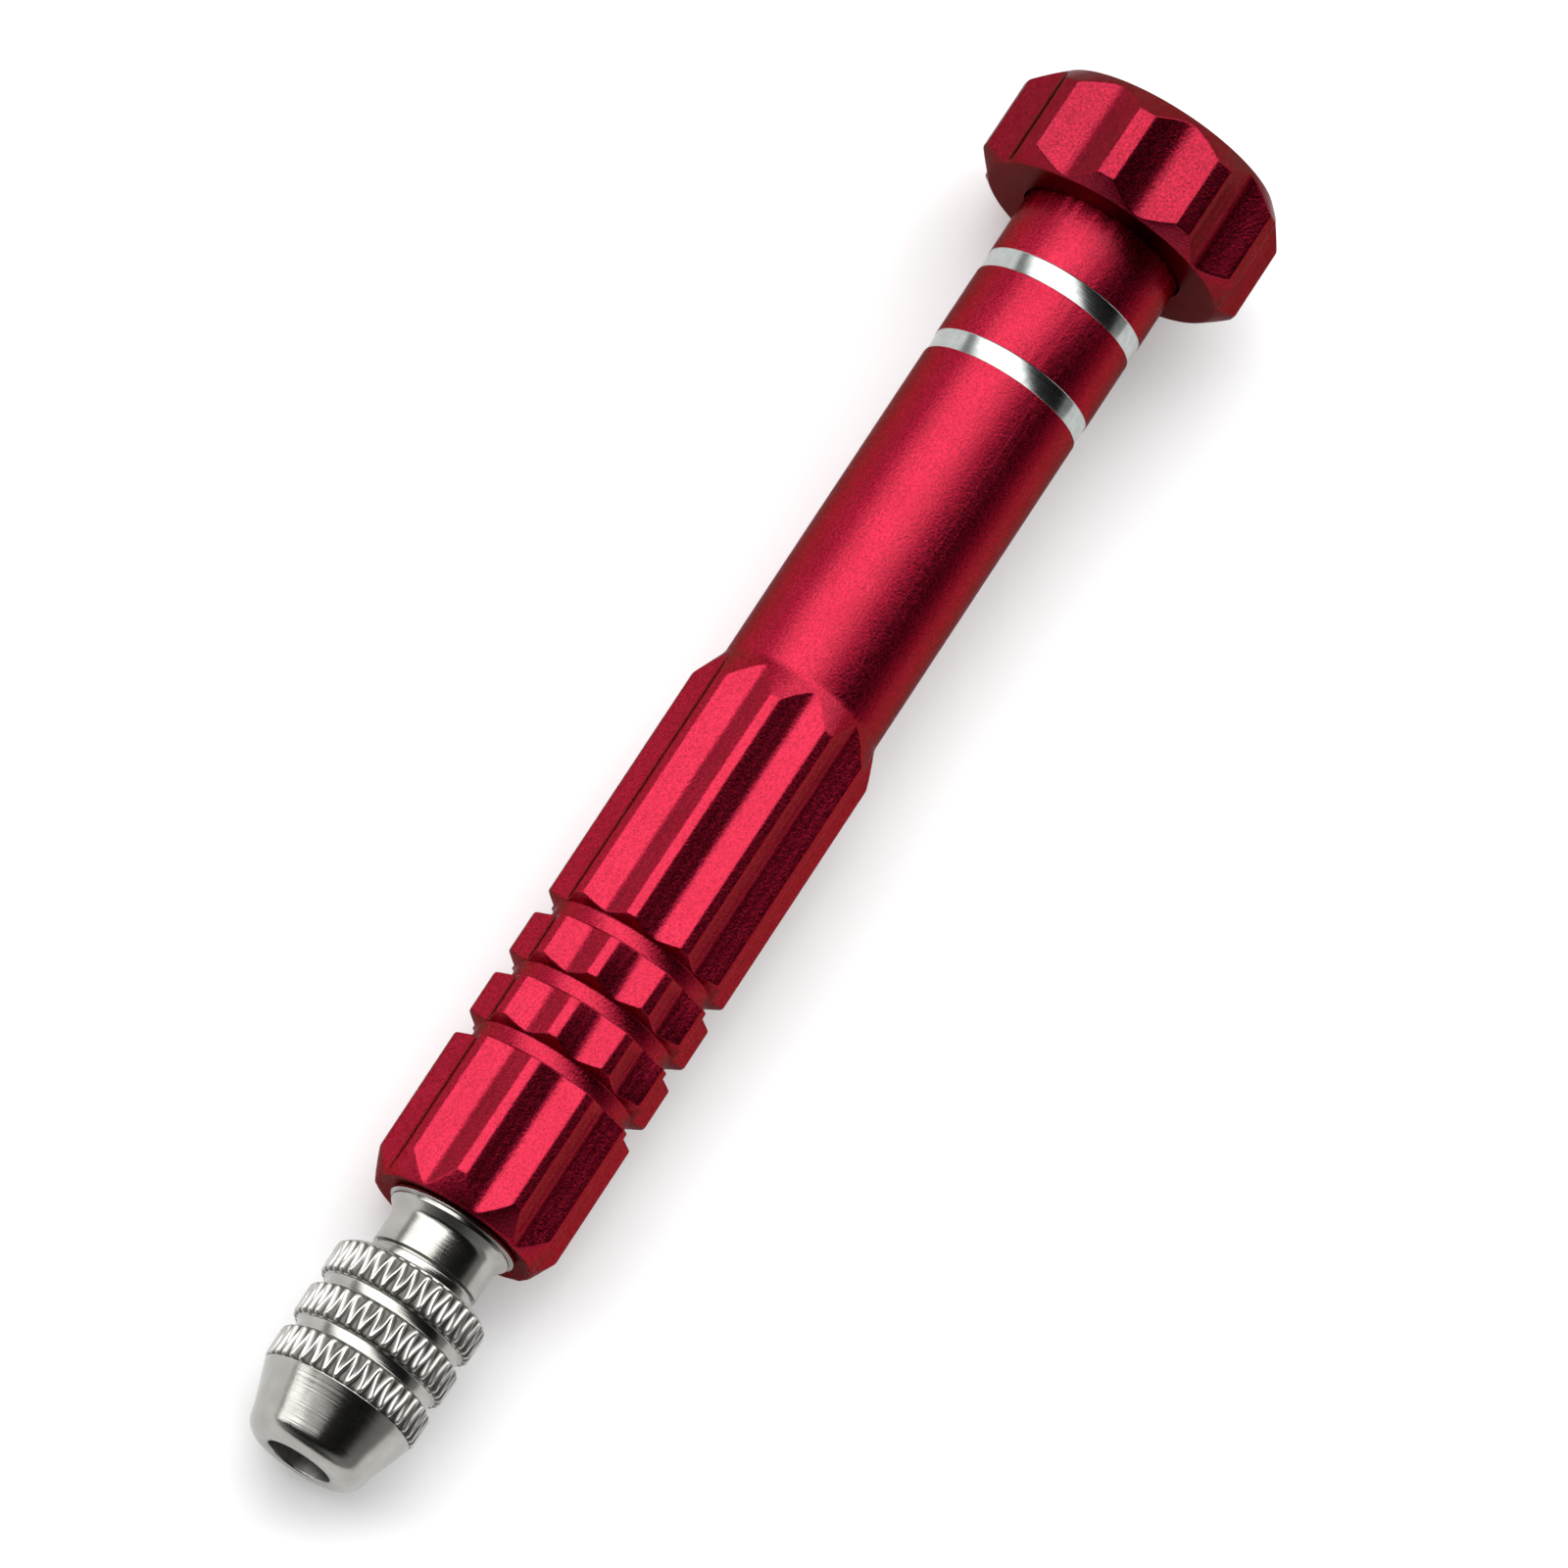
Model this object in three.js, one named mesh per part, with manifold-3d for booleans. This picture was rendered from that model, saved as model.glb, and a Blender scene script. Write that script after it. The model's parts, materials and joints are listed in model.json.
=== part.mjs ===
// Pin vise drill: a slim hand-turned holder for small bits. A fluted aluminium handle carries a
// knurled collet chuck on its nose and stores five spare bits behind a pull-out swivel knob.
//
// The tool is drawn standing on its own axis, with heights counted from the knob's flat end (0)
// to the nose face, and is then laid down on its flutes with the nose towards +X.
// Units are millimetres.
import * as THREE from 'three';
import { mergeVertices } from 'three/addons/utils/BufferGeometryUtils.js';
import Module from 'manifold-3d';

const wasm = await Module();
wasm.setup();

// ---------------------------------------------------------------- driving dimensions
const FLUTE_COUNT = 10;
const TURN_STEPS = 40;          // facets round a large turned piece
const SMALL_TURN_STEPS = 32;    // facets round a small turned piece
const BIT_TURN_STEPS = 16;      // facets round a stored bit
const NOSE_STEPS = 4;           // facets on a round-nosed flute cutter, for each curve segment
const OVERRUN = 1;              // how far a cutter runs past the metal it cuts

const HANDLE = {
  mouth: 6.8, coneStart: 39.9, gripStart: 42.0, gripEnd: 75.15, end: 76.8,
  tubeR: 5.1, gripR: 6.0, endR: 5.2, edge: 0.2, seatR: 4.3, seat: 76.6,
  boreR: 4.25, boreEnd: 61.8, borePoint: 64.2, socketR: 3.0, socketFloor: 67.3,
};
const BANDS = { starts: [11.2, 17.0], width: 1.28, depth: 0.1 };
const GRIP_GROOVES = { starts: [57.35, 61.55, 65.75], fall: 0.38, floor: 1.0, rise: 0.2, bottomR: 5.1 };
const GRIP_FLUTE = { ridge: 0.65, bottomR: 5.3, vee: true };

const KNOB = {
  faceR: 7.25, ridgeR: 8.75, flankStart: 1.6, flankEnd: 6.2, end: 7.05, underR: 7.65,
  recessR: 5.2, recessFloor: 6.55, tapR: 0.8, tapFloor: 2.4,
};
const KNOB_FLUTE = { ridge: 1.1, bottomR: 7.75, vee: false };

const PLUG = {
  start: 6.65, end: 16.2, stemR: 3.8, tipR: 3.85, tipRound: 0.5, roundSteps: 3,
  holeR: 0.9, webEnd: 8.1, cavityR: 1.7, cavityChamfer: 0.4,
};
const O_RING = { height: 12.7, ringR: 3.4, cordR: 0.8, cordSteps: 10, grooveR: 2.55, grooveWidth: 1.8 };
const SCREW = {
  start: 2.8, shankR: 0.75, headStart: 8.7, headEnd: 9.7, headR: 1.45, slotWidth: 0.35, slotDepth: 0.45,
};
const WASHER = { start: 8.25, end: 8.6, holeR: 0.85, r: 1.6 };

const CHUCK = {
  start: 67.6, tailR: 2.97, tailChamfer: 0.3,
  flangeStart: 76.65, flangeEnd: 77.15, flangeR: 4.1, flangeEdge: 0.12, flareEnd: 77.75,
  neckR: 3.4, grooveStart: 79.8, grooveEnd: 80.1, grooveR: 3.1, grooveSlope: 0.1,
  collarR: 3.38, collarEnd: 80.65, collarRound: 0.15, threadR: 2.45, end: 86.5, threadChamfer: 0.2,
  seatR: 1.9, seatFloor: 80.0, boreR: 1.5, boreFloor: 70.0,
  slotStart: 82.0, slotWidth: 0.8,
};
const COLLET = {
  start: 80.3, boreR: 1.42, shankR: 1.85, shankEnd: 86.7, shoulder: 0.2,
  headR: 2.4, coneStart: 88.3, frontR: 1.93, front: 89.95, slotStart: 83.5, slotWidth: 0.4,
};
const NUT = {
  start: 80.8, chamfer: 0.2, ringStarts: [81.0, 83.9, 86.85], ringWidth: 2.05, ringR: 4.925,
  grooveR: 4.42, ringEdge: 0.12, coneStartR: 4.85, coneEndR: 3.82, coneEnd: 91.7, faceR: 2.6, end: 93.0,
  roundSteps: 4, holeR: 2.05, holeChamfer: 0.12, threadR: 2.5, seatStart: 88.3, seatEnd: 90.1,
};
const BIT = {
  start: 17.2, length: 44.0, r: 1.4, chamfer: 0.25, ringR: 2.65,
  neckR: 0.95, neckLength: 5.0, shoulder: 1.0,
};
const SLOTTED_TIP = { bladeHalf: 0.22, length: 2.4 };
const CROSS_TIP = { pointR: 0.3, wingHalf: 0.17, length: 1.5 };
const STAR_TIP = { middleR: 0.8, lobe: 0.13, lobes: 6, corners: 36, length: 2.5 };
const HEX_TIP = { cornerR: 0.9, corners: 6, length: 3.0 };
const TRIANGLE_TIP = { cornerR: 0.92, corners: 3, length: 2.5 };

// ---------------------------------------------------------------- geometry helpers
// Turns a [radius, height] outline about the tool's axis. The outline runs with the metal on its left.
function turned(outline, steps = TURN_STEPS) {
  const points = outline.map(([r, z]) => new THREE.Vector2(r, z));
  return new THREE.LatheGeometry(points, steps).rotateX(Math.PI / 2);
}

// A closed outline for a ring-shaped piece: the last point meets the first.
function ring(outline) {
  return [...outline, outline[0]];
}

function arcPoints(centreR, centreZ, radiusR, radiusZ, from, to, steps) {
  return Array.from({ length: steps + 1 }, (_, i) => {
    const angle = from + ((to - from) * i) / steps;
    return [centreR + radiusR * Math.cos(angle), centreZ + radiusZ * Math.sin(angle)];
  });
}

function solidOf(geometry) {
  geometry.deleteAttribute('normal');
  geometry.deleteAttribute('uv');
  const merged = mergeVertices(geometry);
  const corners = merged.index.array;
  const triangles = [];
  for (let i = 0; i < corners.length; i += 3) {
    const [a, b, c] = corners.slice(i, i + 3);
    if (a !== b && b !== c && c !== a) triangles.push(a, b, c);
  }
  return new wasm.Manifold(new wasm.Mesh({
    numProp: 3,
    vertProperties: new Float32Array(merged.attributes.position.array),
    triVerts: new Uint32Array(triangles),
  }));
}

function geometryOf(solid) {
  const { vertProperties, triVerts, numProp } = solid.getMesh();
  const geometry = new THREE.BufferGeometry();
  const positions = new Float32Array((vertProperties.length / numProp) * 3);
  for (let i = 0; i < positions.length / 3; i += 1) {
    positions.set(vertProperties.subarray(i * numProp, i * numProp + 3), i * 3);
  }
  geometry.setAttribute('position', new THREE.BufferAttribute(positions, 3));
  geometry.setIndex(new THREE.BufferAttribute(new Uint32Array(triVerts), 1));
  geometry.computeVertexNormals();
  return geometry;
}

function cutAll(body, cutters) {
  return cutters.reduce((rest, cutter) => rest.subtract(cutter), body);
}

// A box across the axis, for slots, from one height to another.
function slotCutter(width, reach, start, end, angle) {
  const box = new THREE.BoxGeometry(width, 2 * reach, end - start);
  return solidOf(box.translate(0, 0, (start + end) / 2).rotateZ(angle));
}

// A prism of a flat outline, along the axis.
function prism(shape, start, end) {
  const settings = { depth: end - start, bevelEnabled: false, curveSegments: NOSE_STEPS };
  return new THREE.ExtrudeGeometry(shape, settings).translate(0, 0, start);
}

// ---------------------------------------------------------------- flutes
// Half the angle that one flute takes at the ridge radius.
function fluteHalfAngle(ridgeR, flute) {
  return Math.PI / FLUTE_COUNT - Math.asin(flute.ridge / 2 / ridgeR);
}

// Rounds a cutter's nose, from the ridge on one side to the ridge on the other.
function addRoundNose(shape, edge, bottomR) {
  const depth = edge.x - bottomR;
  const cutterR = (depth * depth + edge.y * edge.y) / (2 * depth);
  const sweep = Math.asin(edge.y / cutterR);
  shape.absarc(bottomR + cutterR, 0, cutterR, Math.PI + sweep, Math.PI - sweep, true);
}

// The outline of the cutter whose pass leaves flat-topped ridges of the stated width.
function fluteShape(ridgeR, flute) {
  const half = fluteHalfAngle(ridgeR, flute);
  const edge = new THREE.Vector2(Math.cos(half), Math.sin(half)).multiplyScalar(ridgeR);
  const outside = (ridgeR + 2 * OVERRUN) / ridgeR;
  const shape = new THREE.Shape();
  shape.moveTo(edge.x * outside, -edge.y * outside);
  shape.lineTo(edge.x, -edge.y);
  if (flute.vee) shape.lineTo(flute.bottomR, 0);
  else addRoundNose(shape, edge, flute.bottomR);
  shape.lineTo(edge.x, edge.y);
  shape.lineTo(edge.x * outside, edge.y * outside);
  shape.closePath();
  return shape;
}

function fluted(body, ridgeR, flute, start, end) {
  const shape = fluteShape(ridgeR, flute);
  const cutters = Array.from({ length: FLUTE_COUNT }, (_, i) => {
    const angle = (i * 2 * Math.PI) / FLUTE_COUNT;
    return solidOf(prism(shape, start - OVERRUN, end + OVERRUN).rotateZ(angle));
  });
  return cutAll(body, cutters);
}

// ---------------------------------------------------------------- handle
function handleBody() {
  const bandPoints = BANDS.starts.flatMap((z) => [
    [HANDLE.tubeR, z],
    [HANDLE.tubeR - BANDS.depth, z + BANDS.depth / 2],
    [HANDLE.tubeR - BANDS.depth, z + BANDS.width - BANDS.depth / 2],
    [HANDLE.tubeR, z + BANDS.width],
  ]);
  const { fall, floor, rise, bottomR } = GRIP_GROOVES;
  const groovePoints = GRIP_GROOVES.starts.flatMap((z) => [
    [HANDLE.gripR, z],
    [bottomR, z + fall],
    [bottomR, z + fall + floor],
    [HANDLE.gripR, z + fall + floor + rise],
  ]);
  const blank = turned([
    [0, HANDLE.borePoint], [HANDLE.boreR, HANDLE.boreEnd], [HANDLE.boreR, HANDLE.mouth],
    [HANDLE.tubeR - HANDLE.edge, HANDLE.mouth], [HANDLE.tubeR, HANDLE.mouth + HANDLE.edge],
    ...bandPoints,
    [HANDLE.tubeR, HANDLE.coneStart], [HANDLE.gripR, HANDLE.gripStart],
    ...groovePoints,
    [HANDLE.gripR, HANDLE.gripEnd], [HANDLE.endR, HANDLE.end],
    [HANDLE.seatR, HANDLE.seat], [HANDLE.socketR, HANDLE.seat],
    [HANDLE.socketR, HANDLE.socketFloor], [0, HANDLE.socketFloor],
  ]);
  return fluted(solidOf(blank), HANDLE.gripR, GRIP_FLUTE, HANDLE.coneStart, HANDLE.end);
}

// ---------------------------------------------------------------- cap: knob, plug, ring and pivot
function capKnob() {
  const blank = turned([
    [0, 0], [KNOB.faceR, 0], [KNOB.ridgeR, KNOB.flankStart], [KNOB.ridgeR, KNOB.flankEnd],
    [KNOB.underR, KNOB.end], [KNOB.recessR, KNOB.end], [KNOB.recessR, KNOB.recessFloor],
    [KNOB.tapR, KNOB.recessFloor], [KNOB.tapR, KNOB.tapFloor], [0, KNOB.tapFloor],
  ]);
  return fluted(solidOf(blank), KNOB.ridgeR, KNOB_FLUTE, 0, KNOB.end);
}

function capPlug() {
  const grooveStart = O_RING.height - O_RING.grooveWidth / 2;
  const grooveEnd = O_RING.height + O_RING.grooveWidth / 2;
  const round = PLUG.tipRound;
  return solidOf(turned(ring([
    [PLUG.holeR, PLUG.start], [PLUG.stemR, PLUG.start], [PLUG.stemR, grooveStart],
    [O_RING.grooveR, grooveStart], [O_RING.grooveR, grooveEnd], [PLUG.tipR, grooveEnd],
    ...arcPoints(PLUG.tipR - round, PLUG.end - round, round, round, 0, Math.PI / 2, PLUG.roundSteps),
    [PLUG.cavityR + PLUG.cavityChamfer, PLUG.end], [PLUG.cavityR, PLUG.end - PLUG.cavityChamfer],
    [PLUG.cavityR, PLUG.webEnd], [PLUG.holeR, PLUG.webEnd],
  ]), SMALL_TURN_STEPS));
}

function capORing() {
  const torus = new THREE.TorusGeometry(O_RING.ringR, O_RING.cordR, O_RING.cordSteps, SMALL_TURN_STEPS);
  return solidOf(torus.translate(0, 0, O_RING.height));
}

function swivelScrew() {
  const body = solidOf(turned([
    [0, SCREW.start], [SCREW.shankR, SCREW.start], [SCREW.shankR, SCREW.headStart],
    [SCREW.headR, SCREW.headStart], [SCREW.headR, SCREW.headEnd], [0, SCREW.headEnd],
  ], BIT_TURN_STEPS));
  const slotFloor = SCREW.headEnd - SCREW.slotDepth;
  return body.subtract(slotCutter(SCREW.slotWidth, 2 * SCREW.headR, slotFloor, SCREW.headEnd + OVERRUN, 0));
}

function swivelWasher() {
  return solidOf(turned(ring([
    [WASHER.holeR, WASHER.start], [WASHER.r, WASHER.start],
    [WASHER.r, WASHER.end], [WASHER.holeR, WASHER.end],
  ]), BIT_TURN_STEPS));
}

// ---------------------------------------------------------------- chuck: body, collet and nut
// Two crossed slots that split the end of a round piece into four fingers.
function crossSlots(width, start, end) {
  return [0, Math.PI / 2].map((angle) => slotCutter(width, HANDLE.gripR, start, end, angle));
}

function chuckBody() {
  const c = CHUCK;
  const body = solidOf(turned([
    [0, c.start], [c.tailR - c.tailChamfer, c.start], [c.tailR, c.start + c.tailChamfer],
    [c.tailR, c.flangeStart], [c.flangeR - c.flangeEdge, c.flangeStart],
    [c.flangeR, c.flangeStart + c.flangeEdge], [c.flangeR, c.flangeEnd - c.flangeEdge],
    [c.flangeR - c.flangeEdge, c.flangeEnd], [c.neckR, c.flareEnd],
    [c.neckR, c.grooveStart], [c.grooveR, c.grooveStart + c.grooveSlope],
    [c.grooveR, c.grooveEnd - c.grooveSlope], [c.collarR, c.grooveEnd],
    [c.collarR, c.collarEnd - c.collarRound], [c.collarR - c.collarRound, c.collarEnd],
    [c.threadR, c.collarEnd], [c.threadR, c.end - c.threadChamfer],
    [c.threadR - c.threadChamfer, c.end], [c.seatR, c.end], [c.seatR, c.seatFloor],
    [c.boreR, c.seatFloor], [c.boreR, c.boreFloor], [0, c.boreFloor],
  ], SMALL_TURN_STEPS));
  return cutAll(body, crossSlots(c.slotWidth, c.slotStart, c.end + OVERRUN));
}

function collet() {
  const c = COLLET;
  const body = solidOf(turned(ring([
    [c.boreR, c.start], [c.shankR, c.start], [c.shankR, c.shankEnd],
    [c.headR, c.shankEnd + c.shoulder], [c.headR, c.coneStart],
    [c.frontR, c.front], [c.boreR, c.front],
  ]), SMALL_TURN_STEPS));
  return cutAll(body, crossSlots(c.slotWidth, c.slotStart, c.front + OVERRUN));
}

function chuckNut() {
  const n = NUT;
  const lastRing = n.ringStarts.length - 1;
  const roundWidth = n.coneEndR - n.faceR;
  const roundHeight = n.end - n.coneEnd;
  const ringPoints = n.ringStarts.flatMap((z, i) => {
    const top = z + n.ringWidth;
    const rise = i === 0 ? [[n.ringR, z]] : [[n.grooveR, z], [n.ringR, z + n.ringEdge]];
    const fall = i === lastRing ? [[n.ringR, top]] : [[n.ringR, top - n.ringEdge], [n.grooveR, top]];
    return [...rise, ...fall];
  });
  return solidOf(turned(ring([
    [n.threadR, n.start], [n.ringR - n.chamfer, n.start],
    ...ringPoints,
    [n.coneStartR, n.ringStarts.at(-1) + n.ringWidth], [n.coneEndR, n.coneEnd],
    ...arcPoints(n.faceR, n.coneEnd, roundWidth, roundHeight, 0, Math.PI / 2, n.roundSteps).slice(1),
    [n.holeR + n.holeChamfer, n.end], [n.holeR, n.end - n.holeChamfer],
    [n.holeR, n.seatEnd], [n.threadR, n.seatStart],
  ])));
}

// ---------------------------------------------------------------- stored bits
// A rod with a necked-down end; the working tip is then shaped on that end.
function bitBlank() {
  const neckEnd = BIT.neckLength;
  return solidOf(turned([
    [0, 0], [BIT.neckR, 0], [BIT.neckR, neckEnd], [BIT.r, neckEnd + BIT.shoulder],
    [BIT.r, BIT.length - BIT.chamfer], [BIT.r - BIT.chamfer, BIT.length], [0, BIT.length],
  ], BIT_TURN_STEPS));
}

function polygonShape(corners, radiusAt) {
  const points = Array.from({ length: corners }, (_, i) => {
    const angle = (i * 2 * Math.PI) / corners;
    return new THREE.Vector2(Math.cos(angle), Math.sin(angle)).multiplyScalar(radiusAt(angle));
  });
  return new THREE.Shape(points);
}

// Clears the blank's end over the tip's length, and sets the tip in its place.
function withTip(tip, length) {
  return bitBlank().subtract(slotCutter(4 * BIT.r, 2 * BIT.r, -OVERRUN, length, 0)).add(tip);
}

function prismTip(shape, length) {
  return withTip(solidOf(prism(shape, 0, length + OVERRUN)), length);
}

function slottedTip() {
  const { bladeHalf, length } = SLOTTED_TIP;
  const sides = [-1, 1].map((side) => {
    const cheek = new THREE.BoxGeometry(2 * BIT.r, 4 * BIT.r, length + OVERRUN);
    return solidOf(cheek.translate(side * (bladeHalf + BIT.r), 0, (length - OVERRUN) / 2));
  });
  return cutAll(bitBlank(), sides);
}

function crossTip() {
  const { pointR, wingHalf, length } = CROSS_TIP;
  const cone = solidOf(turned([
    [0, 0], [pointR, 0], [BIT.neckR, length], [BIT.neckR, length + OVERRUN], [0, length + OVERRUN],
  ], BIT_TURN_STEPS));
  const notches = [0, 1, 2, 3].map((quarter) => {
    const notch = new THREE.BoxGeometry(BIT.r, BIT.r, 2 * length);
    const offset = wingHalf + BIT.r / 2;
    return solidOf(notch.translate(offset, offset, 0).rotateZ((quarter * Math.PI) / 2));
  });
  return cutAll(withTip(cone, length), notches);
}

function starTip() {
  const { middleR, lobe, lobes, corners, length } = STAR_TIP;
  return prismTip(polygonShape(corners, (angle) => middleR + lobe * Math.cos(lobes * angle)), length);
}

function flatSidedTip({ cornerR, corners, length }) {
  return prismTip(polygonShape(corners, () => cornerR), length);
}

const TIPS = {
  slotted: slottedTip,
  cross: crossTip,
  star: starTip,
  hex: () => flatSidedTip(HEX_TIP),
  triangle: () => flatSidedTip(TRIANGLE_TIP),
};

// Where the bits lie round the bore, and which of them are stored with the plain shank outwards.
const STORED_BITS = [
  { tip: 'slotted', tipOut: true },
  { tip: 'hex', tipOut: false },
  { tip: 'star', tipOut: false },
  { tip: 'cross', tipOut: true },
  { tip: 'triangle', tipOut: true },
];

function storedBit({ tip, tipOut }, index) {
  const geometry = geometryOf(TIPS[tip]());
  if (!tipOut) geometry.rotateX(Math.PI).translate(0, 0, BIT.length);
  const angle = (index * 2 * Math.PI) / STORED_BITS.length;
  return geometry.translate(BIT.ringR * Math.cos(angle), BIT.ringR * Math.sin(angle), BIT.start);
}

// ---------------------------------------------------------------- finishes
const FINISHES = {
  redAnodised: { color: 0xb00f28, roughness: 0.32, metalness: 0.9 },
  nickelSteel: { color: 0xb9b8b2, roughness: 0.3, metalness: 1.0 },
  darkSteel: { color: 0x55534f, roughness: 0.4, metalness: 1.0 },
  nylon: { color: 0xece7df, roughness: 0.45, metalness: 0.0 },
  rubber: { color: 0x101010, roughness: 0.6, metalness: 0.0 },
  blackOxide: { color: 0x2a1712, roughness: 0.3, metalness: 1.0 },
};

function piece(name, geometry, finish) {
  const mesh = new THREE.Mesh(geometry, new THREE.MeshStandardMaterial(FINISHES[finish]));
  mesh.name = name;
  return mesh;
}

// ---------------------------------------------------------------- assembly
const tool = new THREE.Group();
tool.add(
  piece('handle_body', geometryOf(handleBody()), 'redAnodised'),
  piece('cap_knob', geometryOf(capKnob()), 'redAnodised'),
  piece('cap_plug', geometryOf(capPlug()), 'nylon'),
  piece('cap_o_ring', geometryOf(capORing()), 'rubber'),
  piece('swivel_screw', geometryOf(swivelScrew()), 'darkSteel'),
  piece('swivel_washer', geometryOf(swivelWasher()), 'nickelSteel'),
  piece('chuck_body', geometryOf(chuckBody()), 'nickelSteel'),
  piece('collet', geometryOf(collet()), 'darkSteel'),
  piece('chuck_nut', geometryOf(chuckNut()), 'nickelSteel'),
  ...STORED_BITS.map((bit, i) => piece(`bit_${bit.tip}`, storedBit(bit, i), 'blackOxide')),
);

// The tool lies on two ridges of the knob and two ridges of the grip, so its nose dips a little.
const knobDrop = KNOB.ridgeR * Math.cos(fluteHalfAngle(KNOB.ridgeR, KNOB_FLUTE));
const gripDrop = HANDLE.gripR * Math.cos(fluteHalfAngle(HANDLE.gripR, GRIP_FLUTE));
const dip = Math.atan((knobDrop - gripDrop) / (HANDLE.gripEnd - KNOB.flankEnd));
tool.rotation.y = Math.PI / 2 + dip;

// The origin is the middle of the underside of the box round the whole tool.
const laidDown = new THREE.Group();
laidDown.add(tool);
laidDown.updateMatrixWorld(true);
const box = new THREE.Box3().setFromObject(laidDown, true);
tool.position.set(-(box.min.x + box.max.x) / 2, 0, -box.min.z);
laidDown.updateMatrixWorld(true);

export default laidDown;
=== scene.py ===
"""Pin vise drill: the fine meshes, finishes, floor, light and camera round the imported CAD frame.

Outlines are in millimetres in the tool's own frame: heights run along the tool's axis from the
knob's flat end (0) to the nose face, and radii stand square to it. The frame's joints say where
that axis lies in the row frame, and every mesh is carried there once, in metres.
"""
import json
import math

import bmesh
import bpy
from mathutils import Matrix, Vector


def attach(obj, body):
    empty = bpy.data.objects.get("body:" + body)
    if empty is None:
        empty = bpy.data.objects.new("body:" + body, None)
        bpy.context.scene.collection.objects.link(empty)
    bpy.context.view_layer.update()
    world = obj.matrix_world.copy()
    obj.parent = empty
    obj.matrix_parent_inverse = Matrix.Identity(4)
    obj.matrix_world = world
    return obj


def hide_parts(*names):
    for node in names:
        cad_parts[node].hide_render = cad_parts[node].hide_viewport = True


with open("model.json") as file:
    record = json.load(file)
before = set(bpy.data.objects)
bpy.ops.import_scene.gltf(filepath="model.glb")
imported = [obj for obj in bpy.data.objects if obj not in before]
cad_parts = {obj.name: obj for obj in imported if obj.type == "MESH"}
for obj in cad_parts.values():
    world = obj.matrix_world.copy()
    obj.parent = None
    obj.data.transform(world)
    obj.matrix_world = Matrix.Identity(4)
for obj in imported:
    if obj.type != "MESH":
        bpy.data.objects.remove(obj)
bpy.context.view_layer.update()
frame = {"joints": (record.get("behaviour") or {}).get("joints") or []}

# ---------------------------------------------------------------- the tool's frame
MM = 0.001
LENGTH = 93.0                      # knob face to nose face, mm
JOINTS = {joint["name"]: joint for joint in frame["joints"]}
AXIS = Vector(JOINTS["nut_turn"]["axis"]).normalized()
NOSE = Vector(JOINTS["nut_turn"]["pos_m"])
SIDE = Vector((0.0, 1.0, 0.0))     # the tool's own Y stays level
DOWN = SIDE.cross(AXIS)            # the tool's own X, the way it rests on the floor
BASE = NOSE - AXIS * LENGTH * MM
TOOL_TURN = Matrix((DOWN, SIDE, AXIS)).transposed()
TOOL_TO_ROW = Matrix.Translation(BASE) @ TOOL_TURN.to_4x4() @ Matrix.Scale(MM, 4)

# ---------------------------------------------------------------- dimensions, in millimetres
FLUTES = 10
RIDGE_STEP = 0.035                 # between the columns of faces at a ridge's edge
EDGE = 0.09                        # softened edge on turned and milled metal
FINE_EDGE = 0.05
CORNER_STEPS = 3
CORNER_SHARE = 0.45                # a rounded corner takes at most this share of each side
ON_AXIS = 1e-6                     # a smaller radius counts as a point on the axis
ROUND_STEPS, SMALL_ROUND_STEPS = 96, 48   # faces round a turned piece
CREASE = 35                        # degrees; a cut's corners above this stay crisp
CUT_REACH, CUT_PAST = 6.0, 1.0     # how far a slot's cutter reaches from the axis and past the end

# Handle: the tube from its mouth, the cone, the grip, the stored bits' bore and the chuck's socket
MOUTH, CONE_START, GRIP_START, GRIP_END, HANDLE_END = 6.8, 39.9, 42.0, 75.15, 76.8
TUBE_R, GRIP_R, HANDLE_END_R = 5.1, 6.0, 5.2
BORE_R, BORE_END, BORE_POINT = 4.25, 61.8, 64.2
SEAT_R, SEAT, SOCKET_R, SOCKET_FLOOR = 4.3, 76.6, 3.0, 67.3
BAND_STARTS, BAND_WIDTH, BAND_DEPTH, BAND_WALL = (11.2, 17.0), 1.28, 0.06, 0.03
GROOVE_STARTS, GROOVE_R = (57.35, 61.55, 65.75), 5.1
GROOVE_FALL, GROOVE_FLOOR, GROOVE_RISE = 0.38, 1.0, 0.2   # lengths along the axis
GRIP_RIDGE, GRIP_FLUTE_R, GRIP_NOSE = 0.65, 5.3, 0.035    # nose: the round in a flute's bottom, radians

# Knob: the flat face, the fluted flank between two chamfers, the recess and the screw's tapped hole
KNOB_FACE_R, KNOB_R, KNOB_UNDER_R = 7.25, 8.75, 7.65
KNOB_FLANK_START, KNOB_FLANK_END, KNOB_END = 1.6, 6.2, 7.05
KNOB_FACE_EDGE = 0.3                                      # keeps the flat face flat up to its edge
RECESS_R, RECESS_FLOOR, TAP_R, TAP_FLOOR = 5.2, 6.55, 0.8, 2.4
KNOB_RIDGE, KNOB_FLUTE_R, KNOB_NOSE = 1.1, 7.75, 0.07

# Chuck body's thread, for the nut
THREAD_R, THREAD_START, THREAD_END, PITCH, THREAD_DEPTH = 2.45, 82.9, 86.3, 0.75, 0.2

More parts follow.
